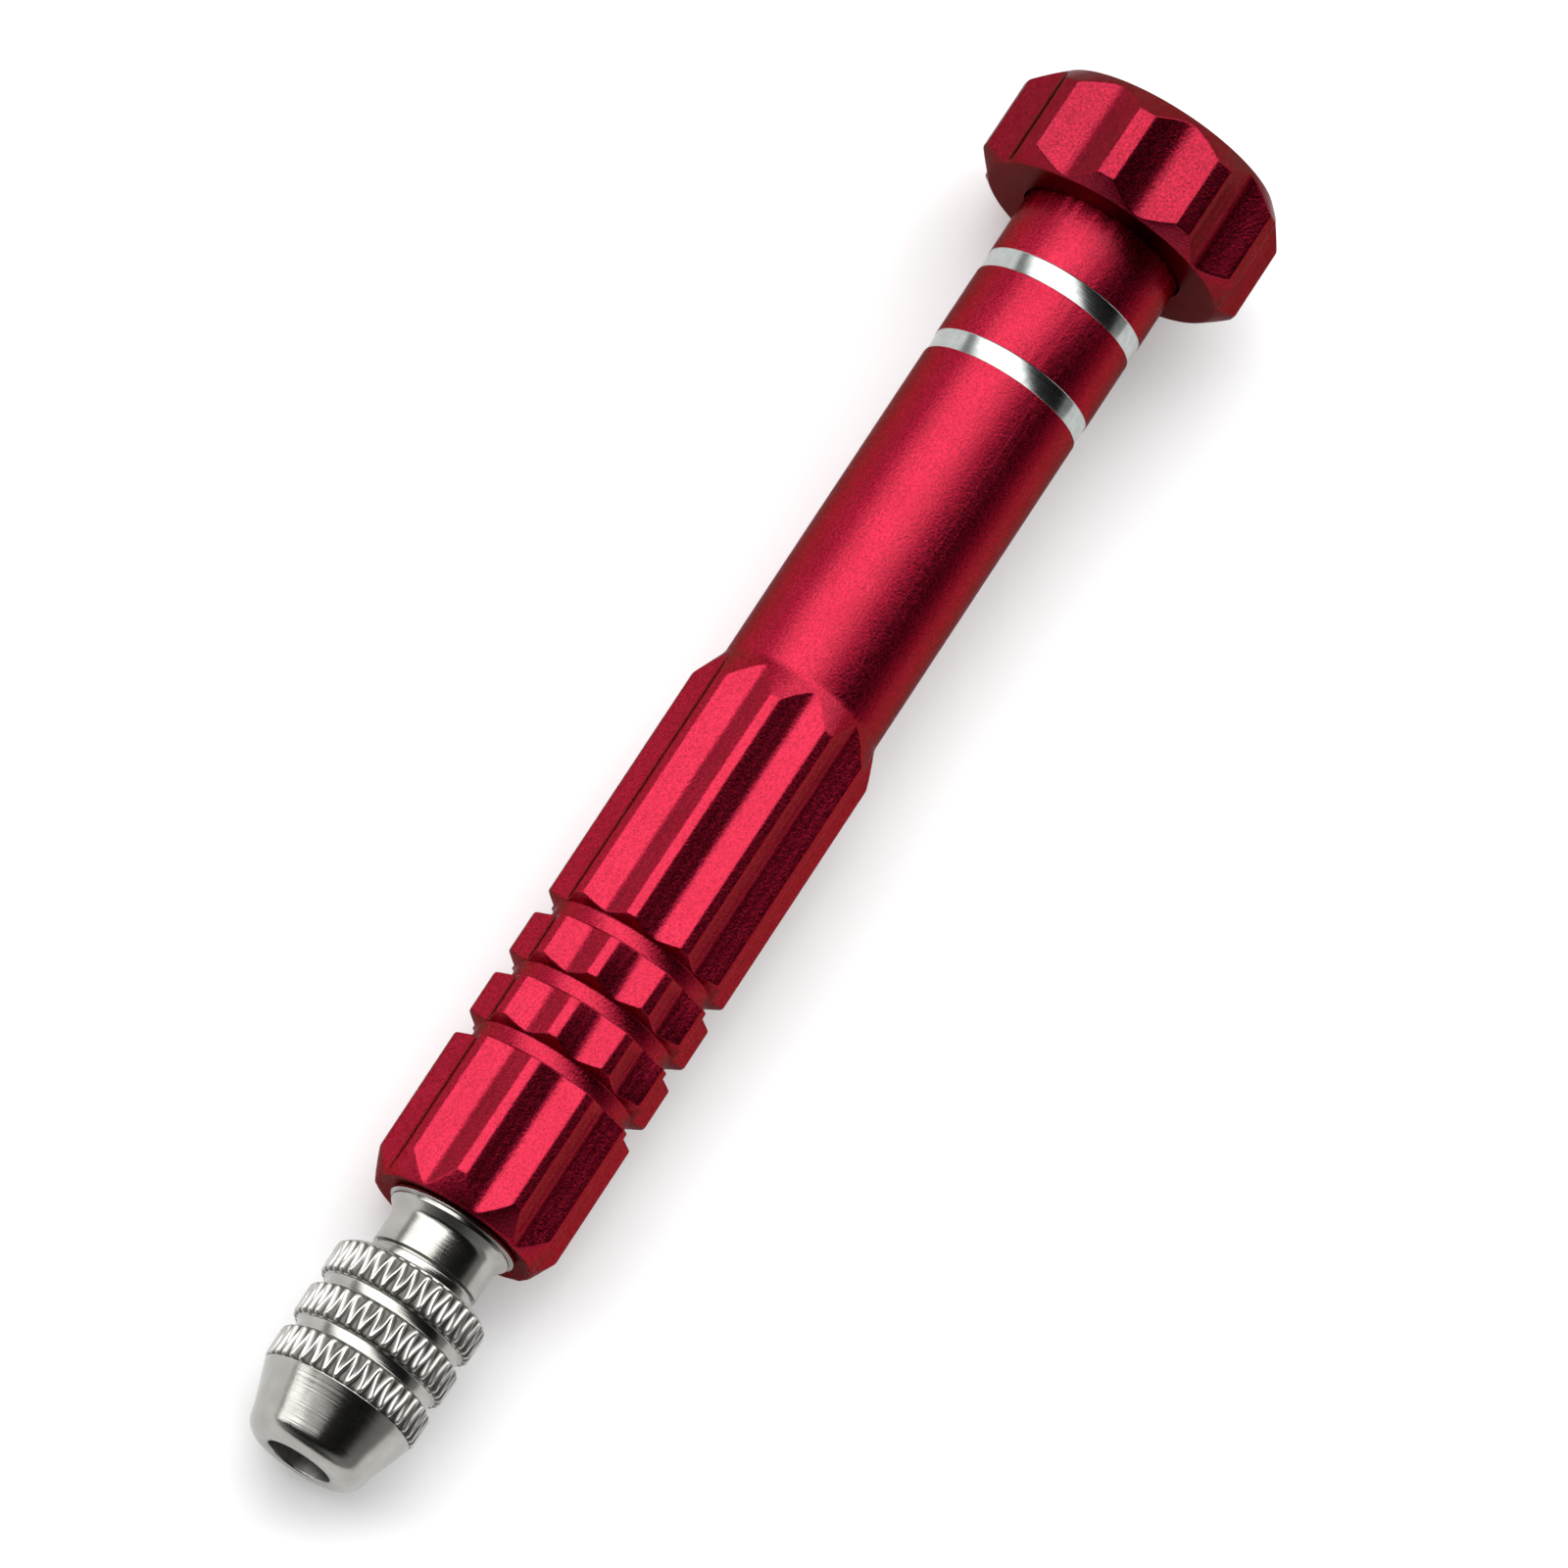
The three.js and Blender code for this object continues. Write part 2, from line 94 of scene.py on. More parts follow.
# Chuck nut: three knurled rings with round shoulders, the grooves between them, and the cone
NUT_START, NUT_CHAMFER, RING_STARTS, RING_WIDTH = 80.8, 0.2, (81.0, 83.9, 86.85), 2.05
RING_R, RIDGE_HEIGHT, NUT_GROOVE_R = 4.72, 0.2, 4.42
RING_GAP, GROOVE_WALL = 0.02, 0.1
SHOULDER, SHOULDER_DROP = 0.22, 0.13
NUT_CONE_R, NUT_CONE_END_R, NUT_CONE_END, NUT_FACE_R = 4.8, 3.82, 91.7, 2.6
NOSE_HOLE_R, NUT_THREAD_R, SEAT_START, SEAT_END = 2.05, 2.5, 88.3, 90.1
KNURLS, KNURL_COLUMNS, KNURL_ROWS = 38, 16, 16            # columns for each knurl, rows for each ring

# Stored bits, in a ring in the bore
BIT_START, BIT_LENGTH, BIT_R, BIT_RING_R = 17.2, 44.0, 1.4, 2.65
NECK_R, NECK_LENGTH, NECK_FLARE, TIP_ROOT = 0.95, 5.0, 1.0, 0.25
BIT_STEPS = 72
TINY = 1e-3                        # keeps a division from reaching zero


# ---------------------------------------------------------------- outlines
def softened(outline, radius=EDGE, closed=False):
    """Rounds each corner of an outline of (radius, height), with the same number of points at each.

    A point's third number, where it has one, is how far its own corner is rounded.
    """
    count = len(outline)
    made = []
    for i, point in enumerate(outline):
        here = Vector(point[:2])
        if not closed and i in (0, count - 1):
            made.append(here)
            continue
        before = Vector(outline[i - 1][:2]) - here
        after = Vector(outline[(i + 1) % count][:2]) - here
        reach = point[2] if len(point) > 2 else radius
        reach = min(reach, CORNER_SHARE * before.length, CORNER_SHARE * after.length)
        start = here + before.normalized() * reach
        end = here + after.normalized() * reach
        for k in range(CORNER_STEPS + 1):
            s = k / CORNER_STEPS
            made.append(start * (1 - s) ** 2 + here * 2 * s * (1 - s) + end * s * s)
    return made


def arc(centre, radii, start, end, steps):
    """Points on an ellipse's arc, angles in degrees, in (radius, height)."""
    angles = [math.radians(start + (end - start) * k / steps) for k in range(steps + 1)]
    return [(centre[0] + radii[0] * math.cos(a), centre[1] + radii[1] * math.sin(a)) for a in angles]


# ---------------------------------------------------------------- mesh building
def new_object(name, vertices, faces):
    mesh = bpy.data.meshes.new(name)
    mesh.from_pydata(vertices, [], faces)
    work = bmesh.new()
    work.from_mesh(mesh)
    bmesh.ops.recalc_face_normals(work, faces=work.faces)
    work.to_mesh(mesh)
    work.free()
    mesh.shade_smooth()
    piece = bpy.data.objects.new(name, mesh)
    bpy.context.scene.collection.objects.link(piece)
    return piece


def skin(name, columns, angles, closed=False):
    """A closed skin from one outline of (radius, height) per angle, all with as many points.

    An open outline starts and ends on the axis; a closed one runs round a ring-shaped piece.
    """
    rows = list(zip(*columns))
    vertices, ids = [], []
    for row in rows:
        if all(point[0] < ON_AXIS for point in row):
            ids.append([len(vertices)] * len(angles))
            vertices.append((0.0, 0.0, row[0][1]))
            continue
        ids.append(list(range(len(vertices), len(vertices) + len(angles))))
        vertices += [(p[0] * math.cos(a), p[0] * math.sin(a), p[1]) for p, a in zip(row, angles)]
    faces = []
    pairs = list(zip(ids, ids[1:])) + ([(ids[-1], ids[0])] if closed else [])
    for low, high in pairs:
        for j in range(len(angles)):
            k = (j + 1) % len(angles)
            corners = dict.fromkeys((low[j], low[k], high[k], high[j]))
            if len(corners) > 2:
                faces.append(tuple(corners))
    return new_object(name, vertices, faces)


def even_angles(count):
    return [2 * math.pi * j / count for j in range(count)]


def turned(name, outline, steps=ROUND_STEPS, closed=False, radius=EDGE):
    """A turned piece; an open outline starts and ends on the axis."""
    points = softened(outline, radius, closed)
    return skin(name, [points] * steps, even_angles(steps), closed)


def cut(piece, cutters):
    """Cuts the cutters out of the piece and leaves a plain mesh with crisp edges where they met."""
    for cutter in cutters:
        modifier = piece.modifiers.new("cut", "BOOLEAN")
        modifier.object = cutter
        modifier.solver = "EXACT"
    bpy.context.view_layer.update()
    shaped = piece.evaluated_get(bpy.context.evaluated_depsgraph_get())
    result = bpy.data.meshes.new_from_object(shaped)
    piece.modifiers.clear()
    piece.data = result
    for cutter in cutters:
        bpy.data.objects.remove(cutter)
    result.shade_smooth()
    result.set_sharp_from_angle(angle=math.radians(CREASE))


def slab(width, start, end, angle, reach=CUT_REACH):
    """A cutter across the axis, from one height to another."""
    turn = Matrix.Rotation(angle, 3, "Z")
    corners = [(x, y, z) for z in (start, end) for y in (-reach, reach) for x in (-width / 2, width / 2)]
    faces = [(0, 2, 3, 1), (4, 5, 7, 6), (0, 1, 5, 4), (2, 6, 7, 3), (0, 4, 6, 2), (1, 3, 7, 5)]
    return new_object("cutter", [turn @ Vector(c) for c in corners], faces)


def crossed_slots(width, start, end):
    """Cutters for two slots that cross on the axis."""
    return [slab(width, start, end, turn) for turn in (0.0, math.pi / 2)]


def finish_piece(piece, body, slot, materials, *nodes, weighted=True):
    """Carries a piece from the tool's frame into the row frame, gives it its materials, ties it to its
    body and hides the CAD nodes it replaces.
    """
    piece.data.transform(TOOL_TO_ROW)
    for material in materials:
        piece.data.materials.append(material)
    if weighted:
        piece.modifiers.new("flat faces lead", "WEIGHTED_NORMAL")
    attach(piece, body)
    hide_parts(*nodes)


# ---------------------------------------------------------------- materials
class Nodes:
    """A short way to write the nodes of a material or a world."""

    def __init__(self, owner):
        owner.use_nodes = True
        self.tree = owner.node_tree
        self.shader = self.tree.nodes.get("Principled BSDF")

    def add(self, kind, inputs=None, **settings):
        node = self.tree.nodes.new(kind)
        for key, value in settings.items():
            setattr(node, key, value)
        for key, value in (inputs or {}).items():
            self.put(node.inputs[key], value)
        return node

    def put(self, socket, value):
        if isinstance(value, bpy.types.NodeSocket):
            self.tree.links.new(value, socket)
        else:
            socket.default_value = value

    def set(self, **inputs):
        """Sets inputs of the material's own shader."""
        for key, value in inputs.items():
            self.put(self.shader.inputs[key.replace("_", " ")], value)

    def tool_point(self):
        """The surface point in the tool's own frame, in metres."""
        place = self.add("ShaderNodeTexCoord").outputs["Object"]
        mapping = self.add("ShaderNodeMapping", {"Vector": place}, vector_type="TEXTURE")
        mapping.inputs["Location"].default_value = BASE
        mapping.inputs["Rotation"].default_value = TOOL_TURN.to_euler()
        return mapping.outputs["Vector"]

    def noise(self, point, size, detail=2.0, roughness=0.5):
        """Noise whose spots are about `size` millimetres across."""
        inputs = {"Vector": point, "Scale": 1 / (size * MM), "Detail": detail, "Roughness": roughness}
        return self.add("ShaderNodeTexNoise", inputs).outputs["Fac"]

    def turning_lines(self, point, pitch):
        """Fine rings left by the lathe, about `pitch` millimetres apart, on flanks and faces alike."""
        parts = self.add("ShaderNodeSeparateXYZ", {"Vector": point}).outputs
        flat = self.add("ShaderNodeCombineXYZ", {"X": parts["X"], "Y": parts["Y"]}).outputs[0]
        radius = self.add("ShaderNodeVectorMath", {0: flat}, operation="LENGTH").outputs["Value"]
        reach = self.add("ShaderNodeMath", {0: parts["Z"], 1: radius}, operation="ADD").outputs[0]
        inputs = {"W": reach, "Scale": 1 / (pitch * MM), "Detail": 3.0}
        return self.add("ShaderNodeTexNoise", inputs, noise_dimensions="1D").outputs["Fac"]

    def spread(self, value, low, high, start=0.3, end=0.7):
        """Maps a noise's useful range onto low to high."""
        inputs = {"Value": value, "From Min": start, "From Max": end, "To Min": low, "To Max": high}
        return self.add("ShaderNodeMapRange", inputs).outputs["Result"]

    def mix(self, factor, a, b):
        node = self.add("ShaderNodeMix", data_type="RGBA")
        self.put(node.inputs["Factor"], factor)
        self.put(node.inputs["A"], a)
        self.put(node.inputs["B"], b)
        return node.outputs["Result"]

    def bump(self, height, depth, under=None):
        """A bump of `depth` millimetres, on top of another bump where there is one under it."""
        inputs = {"Height": height, "Distance": depth * MM}
        if under is not None:
            inputs["Normal"] = under
        return self.add("ShaderNodeBump", inputs).outputs["Normal"]


def rgb(r, g, b):
    return (r, g, b, 1.0)


def grey(level):
    return rgb(level, level, level)


# Sizes of noise, pitches of turning lines and depths of bumps are in millimetres.
def anodised_red(name, dark, light, veil, smooth, rough):
    """Dyed and blasted aluminium: a fine grain from dark to light, with a veil over some of it."""
    material = bpy.data.materials.new(name)
    n = Nodes(material)
    point = n.tool_point()
    grain = n.noise(point, size=0.15, detail=3.0, roughness=0.7)
    cloud = n.noise(point, size=2.4)
    colour = n.mix(n.spread(grain, 0.0, 1.0), dark, light)
    colour = n.mix(n.spread(cloud, 0.0, 0.3), colour, veil)
    lines = n.bump(n.turning_lines(point, pitch=0.09), depth=0.0012)
    n.set(Base_Color=colour, Roughness=n.spread(grain, smooth, rough), Metallic=1.0,
          Normal=n.bump(grain, depth=0.038, under=lines),
          Specular_Tint=rgb(0.27, 0.02, 0.07), Coat_Weight=0.1, Coat_Roughness=0.22)
    return material


def bare_aluminium():
    material = bpy.data.materials.new("bare_aluminium")
    n = Nodes(material)
    point = n.tool_point()
    lines = n.turning_lines(point, pitch=0.06)
    cloud = n.noise(point, size=0.5)
    colour = n.mix(n.spread(cloud, 0.0, 1.0), rgb(0.31, 0.33, 0.32), rgb(0.39, 0.41, 0.40))
    n.set(Base_Color=colour, Roughness=n.spread(lines, 0.12, 0.24), Metallic=1.0,
          Normal=n.bump(lines, depth=0.002))
    return material


def nickel_steel():
    material = bpy.data.materials.new("nickel_steel")
    n = Nodes(material)
    point = n.tool_point()
    lines = n.turning_lines(point, pitch=0.12)
    grain = n.noise(point, size=0.08, detail=3.0)
    cloud = n.noise(point, size=1.5, detail=3.0)
    colour = n.mix(n.spread(cloud, 0.0, 1.0), rgb(0.27, 0.263, 0.243), rgb(0.345, 0.338, 0.317))
    turned_marks = n.bump(lines, depth=0.0075)
    n.set(Base_Color=colour, Roughness=n.spread(grain, 0.14, 0.25), Metallic=1.0,
          Normal=n.bump(grain, depth=0.003, under=turned_marks))
    return material


def knurled_steel():
    """The same plate on the knurl, with painted shade in its valleys."""
    material = bpy.data.materials.new("knurled_steel")
    n = Nodes(material)
    point = n.tool_point()
    height = n.add("ShaderNodeAttribute", attribute_name="knurl_height").outputs["Fac"]
    grain = n.noise(point, size=0.1, detail=3.0)
    # Painted shade: the colour darkens from the knurl's crests down into its valleys.
    crest = n.spread(height, 0.0, 1.0, start=0.1, end=0.75)
    colour = n.mix(crest, rgb(0.10, 0.095, 0.085), rgb(0.46, 0.45, 0.43))
    rough = n.spread(crest, 0.5, 0.34, start=0.0, end=1.0)
    n.set(Base_Color=colour, Roughness=rough, Metallic=1.0, Normal=n.bump(grain, depth=0.006))
    return material


def plain_steel(name, dark, light, rough):
    material = bpy.data.materials.new(name)
    n = Nodes(material)
    point = n.tool_point()
    lines = n.turning_lines(point, pitch=0.1)
    cloud = n.noise(point, size=0.6, detail=3.0)
    colour = n.mix(n.spread(cloud, 0.0, 1.0), dark, light)
    n.set(Base_Color=colour, Roughness=n.spread(lines, rough - 0.06, rough + 0.08), Metallic=1.0,
          Normal=n.bump(lines, depth=0.003))
    return material


def black_oxide():
    """Dark brown heat-treated steel, drawn along the rod."""
    material = bpy.data.materials.new("black_oxide")
    n = Nodes(material)
    point = n.tool_point()
    stretch = {"Vector": point, "Scale": (1.0, 1.0, 0.06)}
    stretched = n.add("ShaderNodeMapping", stretch).outputs["Vector"]
    streaks = n.noise(stretched, size=0.12, detail=3.0)
    stain = n.noise(point, size=2.5, detail=3.0)
    colour = n.mix(n.spread(stain, 0.0, 1.0), rgb(0.035, 0.019, 0.016), rgb(0.12, 0.052, 0.038))
    n.set(Base_Color=colour, Roughness=n.spread(streaks, 0.18, 0.34), Metallic=1.0,
          Normal=n.bump(streaks, depth=0.004))
    return material


def milky_nylon():
    material = bpy.data.materials.new("milky_nylon")
    n = Nodes(material)
    point = n.tool_point()
    cloud = n.noise(point, size=1.8, detail=3.0)
    grain = n.noise(point, size=0.12, detail=3.0)
    colour = n.mix(n.spread(cloud, 0.0, 1.0), rgb(0.66, 0.61, 0.54), rgb(0.75, 0.71, 0.64))
    n.set(Base_Color=colour, Roughness=n.spread(grain, 0.36, 0.5), Normal=n.bump(grain, depth=0.006),
          Subsurface_Weight=0.4, Subsurface_Radius=(1.0, 0.9, 0.8), Subsurface_Scale=0.0012)
    return material


def black_rubber():
    material = bpy.data.materials.new("black_rubber")
    n = Nodes(material)
    point = n.tool_point()
    grain = n.noise(point, size=0.1, detail=4.0)
    colour = n.mix(n.spread(grain, 0.0, 1.0), rgb(0.008, 0.008, 0.008), rgb(0.022, 0.021, 0.021))
    n.set(Base_Color=colour, Roughness=n.spread(grain, 0.34, 0.5), Normal=n.bump(grain, depth=0.008))
    return material


# ---------------------------------------------------------------- flutes
def half_flute(ridge_r, ridge_width):
    """The angle from a flute's middle to the edge of the ridge beside it."""
    return math.pi / FLUTES - math.asin(ridge_width / 2 / ridge_r)


def blended(low, high, blend):
    """The smaller of two radii, with the corner between them rounded."""
    mix = min(1.0, max(0.0, 0.5 + 0.5 * (high - low) / blend))
    return high + (low - high) * mix - blend * mix * (1 - mix)


def vee_flute(ridge_r, ridge_width, bottom_r, nose):
    """The radius of a section with vee flutes, at an angle from a flute's middle.

    Two nearly flat walls, with a faint wave left by the cutter, meet in a round `nose` radians wide.
    """
    edge = half_flute(ridge_r, ridge_width)
    wave, waves, corner = 0.005, 2.5, 0.06

    def soft(off):
        return math.sqrt(off ** 2 + nose ** 2) - nose

    slope = (ridge_r * math.cos(edge) - bottom_r) / (ridge_r * math.sin(soft(edge)))

    def radius(off):
        floor = bottom_r / (math.cos(off) - slope * math.sin(soft(off)))
        floor += wave * math.cos(2 * math.pi * waves * off / edge)
        return blended(floor, ridge_r, corner)

    return radius


def flute_angles(ridge_r, ridge_width):
    """Angles over one flute from its middle, close together at its bottom and at the ridges' edges."""
    edge = half_flute(ridge_r, ridge_width)
    step = RIDGE_STEP / ridge_r
    near = [edge + step * k for k in (-3.2, -2.2, -1.4, -0.7, 0.0, 0.7, 1.4, 2.2, 3.2)]
    bottom = [0.0, 0.012, 0.026, 0.045, 0.075, 0.11]
    wall_columns = 10
    wall = [bottom[-1] + (near[0] - bottom[-1]) * k / wall_columns for k in range(1, wall_columns)]
    half = bottom + wall + near
    return [-a for a in reversed(half[1:])] + half + [math.pi / FLUTES]


def fluted(name, outline_at, section, offsets):
    """A skin whose outline changes with the flutes' radius; a flute's middle lies on the tool's own X."""
    columns, angles = [], []
    for turn in range(FLUTES):
        for offset in offsets:
            columns.append(softened(outline_at(section(abs(offset)))))
            angles.append(turn * 2 * math.pi / FLUTES + offset)
    return skin(name, columns, angles)


# ---------------------------------------------------------------- handle
def handle_outline(flute_r):
    """The handle's outline where the flutes' section has this radius.

    The cone, the grooves' sides and the end's chamfer slope, so a flute meets them nearer the axis.
    """
    points = [(0, BORE_POINT), (BORE_R, BORE_END), (BORE_R, MOUTH, FINE_EDGE), (TUBE_R, MOUTH, 0.2)]
    for start in BAND_STARTS:
        inner, end = TUBE_R - BAND_DEPTH, start + BAND_WIDTH
        points += [(TUBE_R, start, 0.02), (inner, start + BAND_WALL, 0.01)]
        points += [(inner, end - BAND_WALL, 0.01), (TUBE_R, end, 0.02)]
    rise = (flute_r - TUBE_R) / (GRIP_R - TUBE_R)
    points += [(TUBE_R, CONE_START, 0.25), (flute_r, CONE_START + rise * (GRIP_START - CONE_START))]
    depth = (GRIP_R - flute_r) / (GRIP_R - GROOVE_R)
    for start in GROOVE_STARTS:
        floor_start, floor_end = start + GROOVE_FALL, start + GROOVE_FALL + GROOVE_FLOOR
        points += [(flute_r, start + depth * GROOVE_FALL), (GROOVE_R, floor_start, 0.1)]
        points += [(GROOVE_R, floor_end, 0.06), (flute_r, floor_end + (1 - depth) * GROOVE_RISE)]
    fall = (GRIP_R - flute_r) / (GRIP_R - HANDLE_END_R)
    points += [(flute_r, GRIP_END + fall * (HANDLE_END - GRIP_END)), (HANDLE_END_R, HANDLE_END, 0.25)]
    points += [(SEAT_R, SEAT), (SOCKET_R, SEAT), (SOCKET_R, SOCKET_FLOOR), (0, SOCKET_FLOOR)]
    return points


def make_handle(red, bare):
    section = vee_flute(GRIP_R, GRIP_RIDGE, GRIP_FLUTE_R, GRIP_NOSE)
    handle = fluted("handle", handle_outline, section, flute_angles(GRIP_R, GRIP_RIDGE))
    within_wall = (BORE_R + TUBE_R) / 2
    for face in handle.data.polygons:
        outside = math.hypot(face.center.x, face.center.y) > within_wall
        in_band = any(start < face.center.z < start + BAND_WIDTH for start in BAND_STARTS)
        face.material_index = int(outside and in_band)
    finish_piece(handle, "handle", "anodised_handle", [red, bare], "handle_body")


# ---------------------------------------------------------------- cap
def knob_outline(flute_r):
    """The knob's outline where the flutes' section has this radius; both chamfers slope."""
    rise = (flute_r - KNOB_FACE_R) / (KNOB_R - KNOB_FACE_R)
    fall = (flute_r - KNOB_UNDER_R) / (KNOB_R - KNOB_UNDER_R)
    return [
        (0, 0), (KNOB_FACE_R - KNOB_FACE_EDGE, 0, 0.02), (KNOB_FACE_R, 0, 0.2),
        (flute_r, rise * KNOB_FLANK_START),
        (flute_r, KNOB_END - fall * (KNOB_END - KNOB_FLANK_END)), (KNOB_UNDER_R, KNOB_END),
        (RECESS_R, KNOB_END), (RECESS_R, RECESS_FLOOR),
        (TAP_R, RECESS_FLOOR), (TAP_R, TAP_FLOOR), (0, TAP_FLOOR),
    ]


def make_knob(red):
    section = vee_flute(KNOB_R, KNOB_RIDGE, KNOB_FLUTE_R, KNOB_NOSE)
    knob = fluted("knob", knob_outline, section, flute_angles(KNOB_R, KNOB_RIDGE))
    finish_piece(knob, "knob", "anodised_knob", [red], "cap_knob")


def make_plug(nylon):
    """The cap's stem: a web for the swivel screw, a groove for the ring and a hollow end."""
    stem_r, tip_r, groove_r, hole_r, cavity_r = 3.8, 3.85, 2.55, 0.9, 1.7
    start, end, web_end, groove_start, groove_end = 6.65, 16.2, 8.1, 11.8, 13.6
    outline = [
        (hole_r, start), (stem_r, start), (stem_r, groove_start, 0.15), (groove_r, groove_start),
        (groove_r, groove_end), (tip_r, groove_end, 0.15), (tip_r, end, 0.7),
        (cavity_r, end, 0.3), (cavity_r, web_end), (hole_r, web_end),
    ]
    plug = turned("plug", outline, closed=True)
    finish_piece(plug, "plug", "nylon", [nylon], "cap_plug")


def make_o_ring(rubber):
    ring_r, cord_r, height, cord_steps = 3.4, 0.8, 12.7, 28
    outline = arc((ring_r, height), (cord_r, cord_r), 0, 360, cord_steps)[:-1]
    ring = skin("o_ring", [outline] * ROUND_STEPS, even_angles(ROUND_STEPS), closed=True)
    finish_piece(ring, "plug", "seal_rubber", [rubber], "cap_o_ring", weighted=False)


def make_swivel(steel):
    """The screw that holds the knob on the plug, and the washer under its head."""
    tip, shank_r, head_start, head_r, head_end = 2.8, 0.75, 8.7, 1.45, 9.7
    slot_width, slot_floor, slot_top, slot_reach = 0.35, 9.25, 11.0, 2.0
    screw = turned("swivel_screw", [
        (0, tip), (shank_r, tip, 0.2), (shank_r, head_start),
        (head_r, head_start), (head_r, head_end, 0.25), (0, head_end),
    ], steps=SMALL_ROUND_STEPS)
    cut(screw, [slab(slot_width, slot_floor, slot_top, 0.0, reach=slot_reach)])
    finish_piece(screw, "knob", "screw_steel", [steel], "swivel_screw", weighted=False)

    hole_r, rim_r, start, end = 0.85, 1.6, 8.25, 8.6
    washer = turned("swivel_washer", [
        (hole_r, start), (rim_r, start), (rim_r, end), (hole_r, end),
    ], steps=SMALL_ROUND_STEPS, closed=True)
    finish_piece(washer, "knob", "screw_steel", [steel], "swivel_washer")


# ---------------------------------------------------------------- chuck
def thread_column(angle):
    """The thread's crests and roots at one angle; it runs in and out over a few rows at each end."""
    rows, run_rows, lead_rows = 44, 6, 4
    column = []
    for k in range(1, rows):
        height = THREAD_START + (THREAD_END - THREAD_START) * k / rows
        phase = (height / PITCH - angle / (2 * math.pi)) % 1.0
        tooth = 0.5 - 0.5 * math.cos(2 * math.pi * phase)
        run_in = min(1.0, k / run_rows, (rows - k) / run_rows)
        depth = THREAD_DEPTH * (1 - tooth * run_in) * min(1.0, k / lead_rows)
        column.append(Vector((THREAD_R - depth, height)))
    return column


def make_chuck_body(steel):
    """The stem pressed into the handle: tail, flange, neck with a groove, collar and split thread."""
    tail_start, tail_r = 67.6, 2.97
    flange_start, flange_end, flange_r, lip_r, lip_end = 76.65, 77.15, 4.1, 3.9, 76.9
    neck_r, flare_end, collar_r, collar_end = 3.4, 77.75, 3.38, 80.65
    groove_start, groove_end, groove_r, groove_wall = 79.8, 80.1, 3.1, 0.08
    end, seat_r, seat_floor, bore_r, bore_floor = 86.5, 1.9, 80.0, 1.5, 70.0
    slot_width, slot_start = 0.8, 82.0
    root_r = THREAD_R - THREAD_DEPTH
    lower = softened([
        (0, tail_start), (tail_r, tail_start, 0.3), (tail_r, flange_start), (flange_r, flange_start),
        (flange_r, lip_end, 0.06), (lip_r, lip_end, 0.03), (lip_r, flange_end, 0.08),
        (neck_r, flare_end, 0.25), (neck_r, groove_start, 0.03),
        (groove_r, groove_start + groove_wall, 0.04), (groove_r, groove_end - groove_wall, 0.04),
        (collar_r, groove_end, 0.03), (collar_r, collar_end, 0.15),
        (THREAD_R, collar_end, 0.1), (THREAD_R, THREAD_START),
    ])
    upper = softened([
        (root_r, THREAD_END), (root_r, end, 0.1), (seat_r, end, FINE_EDGE),
        (seat_r, seat_floor), (bore_r, seat_floor), (bore_r, bore_floor), (0, bore_floor),
    ])
    angles = even_angles(ROUND_STEPS)
    body = skin("chuck_body", [lower + thread_column(angle) + upper for angle in angles], angles)
    cut(body, crossed_slots(slot_width, slot_start, end + CUT_PAST))
    finish_piece(body, "handle", "chuck_steel", [steel], "chuck_body", weighted=False)


def make_collet(steel):
    """The split jaws that the nut's seat closes on a bit."""
    bore_r, shank_r, head_r, front_r = 1.42, 1.85, 2.4, 1.93
    start, shank_end, head_start, cone_start, front = 80.3, 86.7, 86.9, 88.3, 89.95
    slot_width, slot_start = 0.4, 83.5
    piece = turned("collet", [
        (bore_r, start), (shank_r, start), (shank_r, shank_end), (head_r, head_start),
        (head_r, cone_start), (front_r, front), (bore_r, front, 0.15),
    ], closed=True, radius=FINE_EDGE)
    cut(piece, crossed_slots(slot_width, slot_start, front + CUT_PAST))
    finish_piece(piece, "collet_sleeve", "collet_steel", [steel], "collet", weighted=False)


def knurl_height(across, along):
    """Height of the zigzag ridge, 0 to 1; across counts knurls round the ring, along runs 0 to 1."""
    half_width, waver, waves, twist = 0.31, 0.055, 9, 6.0
    place = (across + waver * math.sin(twist * along + 2 * math.pi * waves * across / KNURLS)) % 1.0
    ridges = (0.5 * along, 1.0 - 0.5 * along)
    gap = min(min(abs(place - r), 1.0 - abs(place - r)) for r in ridges)
    return 0.5 + 0.5 * math.cos(math.pi * min(1.0, gap / half_width))


def knurl_rows(start):
    """(height, base radius, share of the way up, ridge fade) for each row of a round-shouldered ring."""
    rows = []
    for k in range(KNURL_ROWS + 1):
        share = 0.5 - 0.5 * math.cos(math.pi * k / KNURL_ROWS)
        shoulder = max(0.0, 1 - min(share, 1 - share) * RING_WIDTH / SHOULDER)
        base = RING_R - SHOULDER_DROP * (1 - math.sqrt(1 - shoulder ** 2))
        rows.append((start + RING_WIDTH * share, base, share, 1 - 0.5 * shoulder ** 2))
    return rows


def nut_rear():
    """The nut's outline from its thread to the first ring."""
    return softened([
        (NUT_THREAD_R, NUT_START, 0.2), (RING_R - NUT_CHAMFER, NUT_START, 0.15),
        (RING_R - SHOULDER_DROP, RING_STARTS[0] - RING_GAP),
    ])


def nut_groove(ring_start, next_start):
    """The outline of the smooth groove between two rings."""
    ring_end = ring_start + RING_WIDTH
    return softened([
        (RING_R - SHOULDER_DROP, ring_end + RING_GAP), (NUT_GROOVE_R, ring_end + GROOVE_WALL, 0.1),
        (NUT_GROOVE_R, next_start - GROOVE_WALL, 0.1), (RING_R - SHOULDER_DROP, next_start - RING_GAP),
    ])


